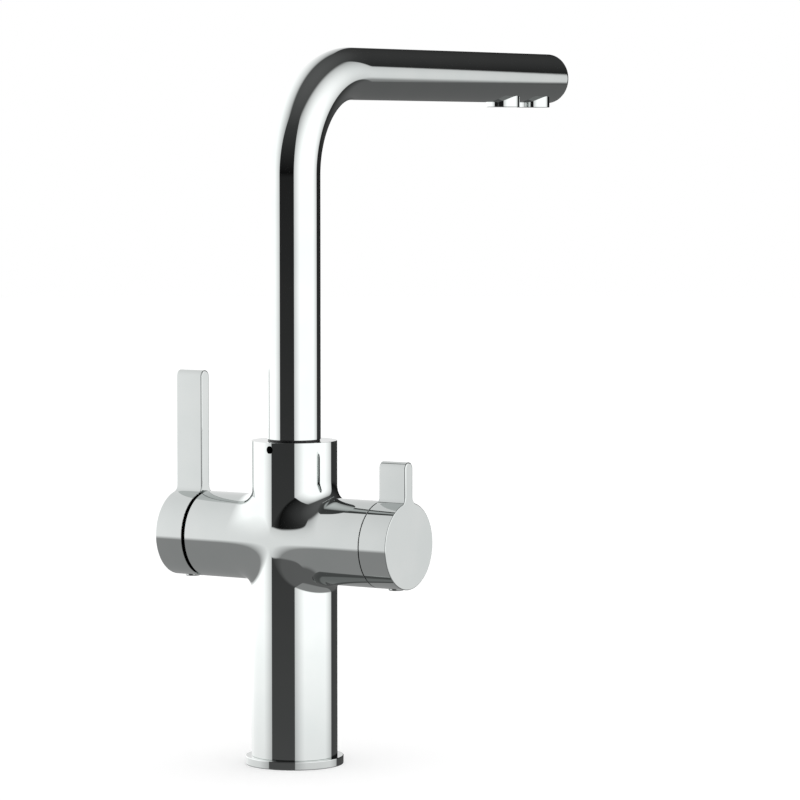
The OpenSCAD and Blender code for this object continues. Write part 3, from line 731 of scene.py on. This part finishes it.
def dress(tree, shader, place, shades, rough, height, patch, relief):
    """Gives a shader slow patches from one shade and roughness to another, patch mm wide, and a relief that
    follows the height and is so many mm deep."""
    slow = node(tree, "ShaderNodeTexNoise", None,
                {"Vector": place, "Scale": patches_of(patch), "Detail": 3.0})
    share = node(tree, "ShaderNodeMapRange", None,
                 {"Value": slow.outputs["Fac"], "From Min": 0.3, "From Max": 0.7})
    colour = node(tree, "ShaderNodeMix", {"data_type": "RGBA"},
                  {0: share.outputs["Result"], 6: linear(shades[0]), 7: linear(shades[1])})
    shine = node(tree, "ShaderNodeMapRange", None,
                 {"Value": share.outputs["Result"], "To Min": rough[0], "To Max": rough[1]})
    bump = node(tree, "ShaderNodeBump", None, {"Height": height, "Distance": relief * MM, "Strength": 1.0})
    feed(shader, {"Base Color": colour.outputs[2], "Roughness": shine.outputs["Result"],
                  "Normal": bump.outputs["Normal"]})


def plated(name, shades, rough, wave):
    """Bright chrome plate over a polished casting: a cool mirror that is a touch hazier in places, and that
    follows the slow waves, wave mm wide, which the polishing wheel left in the brass."""
    material, tree, shader, place = new_material(name, Metallic=1.0)
    waves = node(tree, "ShaderNodeTexNoise", None,
                 {"Vector": place, "Scale": patches_of(wave), "Detail": 1.0})
    dress(tree, shader, place, shades, rough, waves.outputs["Fac"], patch=22, relief=0.006)
    return material


def turned_metal(name, axis, shades, rough):
    """Bar metal turned on a lathe: rings of tool marks across the axis. The real feed is 0.15 mm, and the
    rings are drawn 0.5 mm apart so that they show."""
    material, tree, shader, place = new_material(name, Metallic=1.0)
    marks = node(tree, "ShaderNodeTexWave", {"bands_direction": axis},
                 {"Vector": place, "Scale": lines_of(0.5), "Distortion": 0.8, "Detail": 1.0})
    dress(tree, shader, place, shades, rough, marks.outputs["Fac"], patch=7, relief=0.012)
    return material


def cast_metal(name, shades, rough, grain, relief):
    """Metal as it left the mould: a dull, grainy skin with darker patches."""
    material, tree, shader, place = new_material(name, Metallic=1.0)
    grains = node(tree, "ShaderNodeTexNoise", None,
                  {"Vector": place, "Scale": patches_of(grain), "Detail": 4.0})
    dress(tree, shader, place, shades, rough, grains.outputs["Fac"], patch=6, relief=relief)
    return material


def drawn_tube(name, shades, rough):
    """Soft copper tube pulled through a die: long fine lines along it and brown patches of tarnish."""
    material, tree, shader, place = new_material(name, Metallic=1.0)
    stretched = node(tree, "ShaderNodeMapping", None, {"Vector": place, "Scale": (1, 1, 0.02)})
    lines = node(tree, "ShaderNodeTexNoise", None,
                 {"Vector": stretched.outputs["Vector"], "Scale": patches_of(0.5), "Detail": 2.0})
    dress(tree, shader, place, shades, rough, lines.outputs["Fac"], patch=8, relief=0.02)
    return material


def moulded(name, shades, rough, grain, relief, **constants):
    """A moulded plastic or rubber: an even body colour that clouds a little, and the fine grain of the
    mould, which is drawn grain mm wide."""
    material, tree, shader, place = new_material(name, **constants)
    grains = node(tree, "ShaderNodeTexNoise", None,
                  {"Vector": place, "Scale": patches_of(grain), "Detail": 2.0})
    dress(tree, shader, place, shades, rough, grains.outputs["Fac"], patch=10, relief=relief)
    return material


def fibre_filled(name, shades, rough):
    """Glass-filled polyamide: grey, and streaked where the fibres lie under its skin."""
    material, tree, shader, place = new_material(name, IOR=1.53)
    stretched = node(tree, "ShaderNodeMapping", None, {"Vector": place, "Scale": (1, 0.12, 1)})
    along = stretched.outputs["Vector"]
    fibres = node(tree, "ShaderNodeTexNoise", None,
                  {"Vector": along, "Scale": patches_of(0.35), "Detail": 3.0})
    dress(tree, shader, along, shades, rough, fibres.outputs["Fac"], patch=1.2, relief=0.02)
    return material


def woven_wire(name, shades, rough):
    """Fine stainless gauze: two sets of wires 0.6 mm apart, drawn as high lines, with the gaps between
    painted near black as the shade seen through them.
    """
    material, tree, shader, place = new_material(name, Metallic=1.0)
    wires = [node(tree, "ShaderNodeTexWave", {"bands_direction": axis},
                  {"Vector": place, "Scale": lines_of(0.6)}) for axis in "XY"]
    cloth = node(tree, "ShaderNodeMath", {"operation": "MAXIMUM"},
                 {0: wires[0].outputs["Fac"], 1: wires[1].outputs["Fac"]})
    dress(tree, shader, place, shades, rough, cloth.outputs[0], patch=3, relief=0.15)
    bare = node(tree, "ShaderNodeMapRange", None,
                {"Value": cloth.outputs[0], "From Min": 0.45, "From Max": 0.7})
    # Painted shade: the gaps between the wires are near black
    gap = node(tree, "ShaderNodeMix", {"data_type": "RGBA"},
               {0: bare.outputs["Result"], 6: linear("#0B0B0B"), 7: linear(shades[0])})
    feed(shader, {"Base Color": gap.outputs[2]})
    return material


def lapped(name, shades, rough):
    """Alumina ceramic lapped flat: ivory, fine-grained and glossy, with faint darker grains."""
    material, tree, shader, place = new_material(name, IOR=1.76)
    grains = node(tree, "ShaderNodeTexVoronoi", None, {"Vector": place, "Scale": patches_of(0.4)})
    dress(tree, shader, place, shades, rough, grains.outputs["Distance"], patch=0.9, relief=0.001)
    return material


# Bright chrome on the casting, the tube, the levers and the small parts, cool and a little green
chrome = plated("polished_chrome", ("#C1C5C4", "#C5C8C7"), (0.02, 0.035), wave=14)
# The bores and hollows behind the plating, where chrome doesn't reach: dull unplated brass, painted near
# black as the shade inside them
bore_painted_shade = cast_metal("bore_brass_painted_shade", ("#0D0B09", "#17130E"), (0.55, 0.7), grain=0.6, relief=0.02)
# Plug in the foot and tail of the spout: yellow brass with rings round the upright axis
brass_up = turned_metal("turned_brass_upright", "Z", ("#C3A15C", "#D0B06A"), (0.24, 0.36))
# The clamp nut sits in the dark behind the gap: dull turned brass, its colour painted dark as the shade there
nut_brass_painted_shade = turned_metal("turned_brass_painted_shade", "X", ("#4A3A22", "#5C4A2C"), (0.45, 0.6))
# The filter's headwork and its stem: the same brass with rings round the arm's axis
brass_across = turned_metal("turned_brass_across", "X", ("#B8975A", "#C9A965"), (0.26, 0.38))
# The mixer's stem and pivot pin and the snap rings: grey stainless steel, a little hazy
steel_across = turned_metal("turned_stainless_steel", "X", ("#A3A19D", "#B1AFAA"), (0.22, 0.32))
# Set screw and grub screws: oiled black oxide, nearly without shine
black_steel = turned_metal("black_oxide_steel", "Y", ("#0C0C0E", "#161618"), (0.4, 0.5))
# The four risers: warm red copper
copper = drawn_tube("drawn_copper", ("#B87351", "#96593F"), (0.25, 0.4))
# The fine screens above the stream formers: grey wire with black between
gauze = woven_wire("stainless_gauze", ("#9B9A96", "#A9A8A4"), (0.3, 0.4))
# EPDM and nitrile seals: near black, matt, with a soft sheen on their rounds
rubber = moulded("moulded_epdm_rubber", ("#171716", "#232322"), (0.55, 0.72), grain=0.5, relief=0.02,
                 IOR=1.52)
# The slip ring under the spout: black acetal, smoother than rubber
black_acetal = moulded("moulded_black_acetal", ("#0F0F10", "#18181A"), (0.38, 0.5), grain=0.9,
                       relief=0.006, IOR=1.48)
# Bearing rings, inner tube, cartridge and disc carrier: milky white acetal that lets a little light in
white_acetal = moulded("moulded_white_acetal", ("#E3E1DA", "#EDEBE5"), (0.32, 0.46), grain=0.9,
                       relief=0.006, IOR=1.48, Subsurface_Weight=0.15, Subsurface_Scale=1 * MM)
# The stream formers and the mixer's turret: grey polyamide with fine streaks
grey_polyamide = fibre_filled("glass_filled_polyamide", ("#8B8E90", "#9A9D9E"), (0.42, 0.58))
# The four valve discs: glossy ivory
ceramic = lapped("lapped_alumina", ("#ECE6D8", "#E0D8C8"), (0.1, 0.2))

SLOT_FINISH = {"brass": brass_up, "copper_tube": copper, "rubber": rubber, "dark_plastic": black_acetal,
               "white_plastic": white_acetal, "grey_plastic": grey_polyamide, "ceramic": ceramic,
               "steel": steel_across}
NODE_FINISH = {"mixer_clamp_nut": nut_brass_painted_shade, "filter_valve": brass_across, "filter_stem": brass_across,
               "mixer_grub_screw": black_steel, "filter_grub_screw": black_steel,
               "filter_screen": gauze, "mixed_screen": gauze}


def paint_shade_inside(piece, material, inside):
    """Gives the faces of the bores and hollows a second material, the near-black brass that paints their
    shade.
    """
    piece.data.materials.append(material)
    for face in piece.data.polygons:
        if inside(face.center):
            face.material_index = 1


def finish(piece, material, body_name, slot, *nodes):
    """Gives a piece its finish and its body, and hides the CAD nodes that it stands for."""
    piece.data.materials.clear()
    piece.data.materials.append(material)
    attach(piece, body_name)
    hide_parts(*nodes)


finish(body, chrome, "body", "chrome_body", "body_casting")
finish(flange, chrome, "body", "chrome_flange", "base_flange")
finish(slip, black_acetal, "body", "dark_plastic", "spout_slip_ring")
finish(screw, black_steel, "body", "steel", "spout_set_screw")
finish(spout, chrome, "spout", "chrome_spout", "spout_tube")
finish(near_nozzle, chrome, "spout", "chrome_outlets", "filter_outlet")
finish(far_nozzle, chrome, "spout", "chrome_outlets", "mixed_outlet")
finish(mixer_handle, chrome, "mixer_lever", "chrome_levers", "mixer_lever")
finish(filter_handle, chrome, "filter_lever", "chrome_levers", "filter_lever")
finish(mixer_plug, chrome, "mixer_lever", "chrome_plugs", "mixer_screw_plug")
finish(filter_plug, chrome, "filter_lever", "chrome_plugs", "filter_screw_plug")


def in_casting(p):
    """Inside the mouths of the arms, the collar's socket, the column's bore or the set screw's hole."""
    from_arm, from_column = math.hypot(p.y, p.z - ARM_Z), math.hypot(p.x, p.y)
    from_screw = math.hypot(p.x, p.z - SCREW_Z)
    mouth = MIXER_MOUTH_R if p.x > 0 else FILTER_MOUTH_R
    in_arm = BORES_START < abs(p.x) < ARM_REACH - END_FACE and from_arm < mouth + NEAR
    in_socket = p.z > SOCKET_FLOOR - OVERLAP and from_column < SOCKET_R + NEAR
    in_foot = p.z < FOOT_BORE_TOP + OVERLAP and from_column < SPIGOT_R + NEAR
    in_hole = p.y > 0 and from_column < BODY_R - NEAR and from_screw < 1.01 * SCREW_HOLE_R
    return in_arm or in_socket or in_foot or in_hole


def in_hollow(piece, side):
    """A test for the hollow of a lever's cap."""
    rim = min(side * v.co.x for v in piece.data.vertices) + 2 * RIM_EDGE
    deep = max(side * v.co.x for v in piece.data.vertices) - HUB_END + NEAR
    wall = BODY_R - HUB_WALL + NEAR
    return lambda p: rim < side * p.x < deep and math.hypot(p.y, p.z - ARM_Z) < wall


# The bores and the caps' hollows are painted near black: painted shade where the light doesn't reach
paint_shade_inside(body, bore_painted_shade, in_casting)
paint_shade_inside(mixer_handle, bore_painted_shade, in_hollow(mixer_handle, 1))
paint_shade_inside(filter_handle, bore_painted_shade, in_hollow(filter_handle, -1))

# The rest keeps its CAD shape and gets the finish of its slot
for part in frame["record"]["subparts"]:
    name, cad_node = part["node"], frame["nodes"][part["node"]]
    material = NODE_FINISH.get(name) or SLOT_FINISH.get(part["material_slot"])
    if material:
        cad_node.data.materials.clear()
        cad_node.data.materials.append(material)


# Floor and light

scene = bpy.context.scene
scene.view_settings.view_transform = "Standard"

deselect()
bpy.ops.mesh.primitive_circle_add(vertices=ROUND, radius=FLOOR_R, fill_type="NGON", location=(0, 0, 0))
floor = added("floor")
floor.visible_glossy = False


def white_floor():
    """Matt white paper: plain white where the light is open, and darker where the tap shades it."""
    material = bpy.data.materials.new("white_paper_floor")
    material.use_nodes = True
    tree = material.node_tree
    tree.nodes.clear()
    matt = node(tree, "ShaderNodeBsdfDiffuse", None, {"Color": linear("#E7E7E7")})
    seen = node(tree, "ShaderNodeLightPath")
    lift = node(tree, "ShaderNodeMath", {"operation": "MULTIPLY"},
                {0: seen.outputs["Is Camera Ray"], 1: PAPER_GLOW})
    glow = node(tree, "ShaderNodeEmission", None, {"Color": (1, 1, 1, 1), "Strength": lift.outputs[0]})
    both = node(tree, "ShaderNodeAddShader", None, {0: matt.outputs["BSDF"], 1: glow.outputs["Emission"]})
    node(tree, "ShaderNodeOutputMaterial", None, {"Surface": both.outputs["Shader"]})
    return material


floor.data.materials.append(white_floor())


def studio():
    """White for the camera and for soft light, and the studio for mirror reflections."""
    world = bpy.data.worlds.new("studio")
    scene.world = world
    world.use_nodes = True
    tree = world.node_tree
    tree.nodes.clear()

    # Each direction, turned with the studio, as its sideways, forward and upward share
    place = node(tree, "ShaderNodeTexCoord")
    turned_to = node(tree, "ShaderNodeMapping", {"vector_type": "POINT"},
                     {"Vector": place.outputs["Generated"], "Rotation": (0, 0, math.radians(-STUDIO_TURN))})
    unit = node(tree, "ShaderNodeVectorMath", {"operation": "NORMALIZE"}, {0: turned_to.outputs["Vector"]})
    parts = node(tree, "ShaderNodeSeparateXYZ", None, {"Vector": unit.outputs["Vector"]})
    z = parts.outputs["Z"]
    x = node(tree, "ShaderNodeMath", {"operation": "ABSOLUTE"}, {0: parts.outputs["X"]}).outputs[0]
    level = node(tree, "ShaderNodeCombineXYZ", None, {"X": parts.outputs["X"], "Y": parts.outputs["Y"]})
    reach = node(tree, "ShaderNodeVectorMath", {"operation": "LENGTH"}, {0: level.outputs["Vector"]})
    sideways = node(tree, "ShaderNodeMath", {"operation": "DIVIDE"}, {0: x, 1: reach.outputs["Value"]})

    # The panels: beside the tap, not too steep to pass over them, and lighter towards their middle
    right = node(tree, "ShaderNodeMath", {"operation": "GREATER_THAN"}, {0: parts.outputs["X"], 1: 0.0})
    front = node(tree, "ShaderNodeMath", {"operation": "LESS_THAN"}, {0: parts.outputs["Y"], 1: 0.0})
    corner = node(tree, "ShaderNodeMath", {"operation": "MULTIPLY"},
                  {0: right.outputs[0], 1: front.outputs[0]})
    wider = node(tree, "ShaderNodeMath", {"operation": "MULTIPLY_ADD"},
                 {0: corner.outputs[0], 1: PANEL_WIDER, 2: sideways.outputs[0]})
    beside = node(tree, "ShaderNodeMapRange", {"interpolation_type": "SMOOTHSTEP"},
                  {"Value": wider.outputs[0], "From Min": PANEL_EDGE[0], "From Max": PANEL_EDGE[1]})
    upright = node(tree, "ShaderNodeMath", {"operation": "ABSOLUTE"}, {0: z})
    steep = node(tree, "ShaderNodeMath", {"operation": "DIVIDE"}, {0: upright.outputs[0], 1: x})
    below_top = node(tree, "ShaderNodeMapRange", {"interpolation_type": "SMOOTHSTEP"},
                     {"Value": steep.outputs[0], "From Min": PANEL_TOP[1], "From Max": PANEL_TOP[0]})
    panel = node(tree, "ShaderNodeMath", {"operation": "MULTIPLY"},
                 {0: beside.outputs["Result"], 1: below_top.outputs["Result"]})
    light = node(tree, "ShaderNodeMath", {"operation": "MULTIPLY_ADD", "use_clamp": True},
                 {0: x, 1: PANEL_LIGHT[0], 2: PANEL_LIGHT[1]})

    # The grey ground below the panels, and the dark cloth between them
    above = node(tree, "ShaderNodeMapRange", None,
                 {"Value": z, "From Min": GROUND_TOP[0], "From Max": GROUND_TOP[1]})
    face = node(tree, "ShaderNodeMix", {"data_type": "FLOAT"},
                {0: above.outputs["Result"], 2: GROUND_IN_PANEL, 3: light.outputs[0]})
    along = node(tree, "ShaderNodeMapRange", None, {"Value": z, "From Min": -1.0, "From Max": 1.0})
    cloth = node(tree, "ShaderNodeValToRGB", None, {"Fac": along.outputs["Result"]})
    stops = cloth.color_ramp.elements
    stops[0].position, stops[1].position = 0, 1
    for at, grey in CLOTH:
        end = {-1: stops[0], 1: stops[-1]}.get(at)
        (end or stops.new((at + 1) / 2)).color = (grey, grey, grey, 1)

    # Mirrors see all this, and the camera and soft light see plain white
    mirrored = node(tree, "ShaderNodeMix", {"data_type": "RGBA"},
                    {0: panel.outputs[0], 6: cloth.outputs["Color"], 7: face.outputs[0]})
    shown = node(tree, "ShaderNodeBackground", None,
                 {"Color": mirrored.outputs[2], "Strength": 1 / CHROME_LEVEL})
    plain = node(tree, "ShaderNodeBackground", None, {"Color": (1, 1, 1, 1), "Strength": 1.0})
    path = node(tree, "ShaderNodeLightPath")
    mixed = node(tree, "ShaderNodeMixShader", None,
                 {0: path.outputs["Is Glossy Ray"], 1: plain.outputs[0], 2: shown.outputs[0]})
    node(tree, "ShaderNodeOutputWorld", None, {"Surface": mixed.outputs[0]})


studio()
